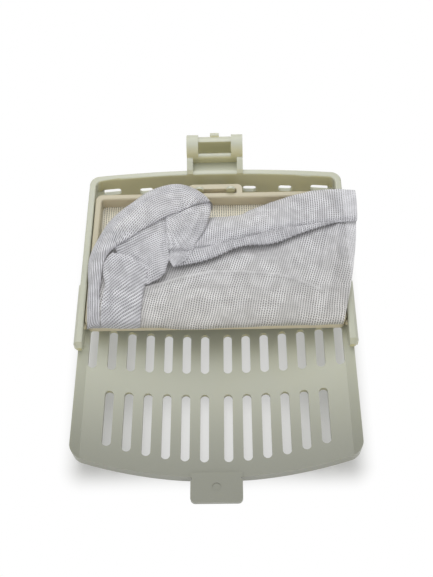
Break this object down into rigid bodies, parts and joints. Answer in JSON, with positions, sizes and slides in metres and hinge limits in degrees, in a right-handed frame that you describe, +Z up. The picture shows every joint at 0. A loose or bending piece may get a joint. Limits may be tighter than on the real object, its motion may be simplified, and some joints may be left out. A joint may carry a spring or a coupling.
{
  "type": "washing machine lint filter",
  "caption": "Concave slotted plastic filter cover with a sprung latch and a bottom tab, carrying a hinged rectangular frame with a folded net lint bag.",
  "frame": {"origin": "on the surface it lies on, under the middle of its bounding box", "axes": "+X to the right, +Y towards the latch, +Z up out of the cover's concave face"},
  "size_m": [0.1364, 0.1936, 0.0366],
  "materials": {
    "cover_plastic": "satin moulded",
    "frame_plastic": "satin moulded",
    "net_fabric": "glossy nylon net"
  },
  "bodies": {
    "cover": {"grille_cover": "cover_plastic"},
    "net": {"net_frame": "frame_plastic", "lint_bag": "net_fabric"}
  },
  "joints": [
    {"name": "frame_hinge", "type": "hinge", "parent": "cover", "child": "net", "pos_m": [0, -0.0135, 0.0196], "axis": [1, 0, 0], "range_deg": [0, 95]}
  ]
}
